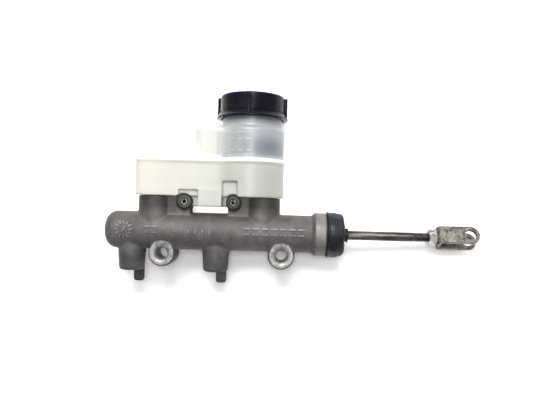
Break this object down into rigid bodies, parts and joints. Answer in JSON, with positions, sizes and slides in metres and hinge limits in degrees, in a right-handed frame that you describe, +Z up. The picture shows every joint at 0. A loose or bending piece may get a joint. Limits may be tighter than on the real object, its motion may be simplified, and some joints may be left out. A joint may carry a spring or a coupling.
{
  "type": "brake master cylinder",
  "caption": "Tandem hydraulic brake master cylinder with a plastic fluid reservoir on top, a booted pushrod and a clevis for the pedal.",
  "frame": {"origin": "midway between the two mounting bolts, in the plane of symmetry of the bore", "axes": "+X along the bore towards the pushrod and clevis, +Z up to the reservoir cap, +Y along the mounting bolts"},
  "size_m": [0.3223, 0.062, 0.1633],
  "materials": {
    "cast_aluminium": "rough cast",
    "white_plastic": "satin",
    "clear_plastic": "translucent natural nylon",
    "black_plastic": "gloss",
    "rubber": "matt",
    "steel": "bright, lightly stained",
    "zinc_steel": "weathered zinc plate",
    "piston_alloy": "anodised"
  },
  "bodies": {
    "cylinder": {"housing": "cast_aluminium", "reservoir_lower": "white_plastic", "reservoir_upper": "clear_plastic", "grommet_front": "rubber", "grommet_rear": "rubber", "roll_pin_front": "steel", "roll_pin_rear": "steel", "secondary_stop_pin": "steel", "stop_washer": "steel", "snap_ring": "steel", "boot": "rubber", "secondary_spring": "steel"},
    "primary_piston": {"primary_piston": "piston_alloy", "primary_cup_seal": "rubber", "primary_rear_seal": "rubber", "pushrod_retainer": "steel"},
    "secondary_piston": {"secondary_piston": "piston_alloy", "secondary_cup_seal": "rubber", "secondary_rear_seal": "rubber", "secondary_spring_seat": "steel", "primary_spring_seat": "steel", "primary_spring": "steel"},
    "pushrod": {"pushrod": "steel"},
    "jam_nut": {"jam_nut": "zinc_steel"},
    "clevis": {"clevis": "zinc_steel"},
    "diaphragm": {"cap_diaphragm": "rubber"},
    "cap": {"cap": "black_plastic"}
  },
  "joints": [
    {"name": "primary_piston_slide", "type": "slide", "parent": "cylinder", "child": "primary_piston", "axis": [-1, 0, 0], "range_m": [0, 0.024], "stiffness_N_per_m": 1500, "springref_m": -0.02, "deforming": ["primary_spring"]},
    {"name": "secondary_piston_slide", "type": "slide", "parent": "cylinder", "child": "secondary_piston", "axis": [-1, 0, 0], "range_m": [0, 0.012], "deforming": ["secondary_spring"]},
    {"name": "pushrod_swivel", "type": "hinge", "parent": "primary_piston", "child": "pushrod", "pos_m": [0.077, 0, 0.01905], "axis": [0, 1, 0], "range_deg": [-1.4, 1.4]},
    {"name": "jam_nut_turn", "type": "hinge", "parent": "pushrod", "child": "jam_nut", "pos_m": [0.1816, 0, 0.01905], "axis": [1, 0, 0], "continuous": true},
    {"name": "clevis_turn", "type": "hinge", "parent": "pushrod", "child": "clevis", "pos_m": [0.2, 0, 0.01905], "axis": [1, 0, 0], "continuous": true},
    {"name": "diaphragm_lift", "type": "slide", "parent": "cylinder", "child": "diaphragm", "axis": [0, 0, 1], "range_m": [0, 0.03]},
    {"name": "cap_turn", "type": "hinge", "parent": "diaphragm", "child": "cap", "pos_m": [0.0227, 0, 0.117], "axis": [0, 0, 1], "continuous": true}
  ],
  "couplings": [
    {"joint": "secondary_piston_slide", "follows": "primary_piston_slide", "ratio": 0.5}
  ]
}
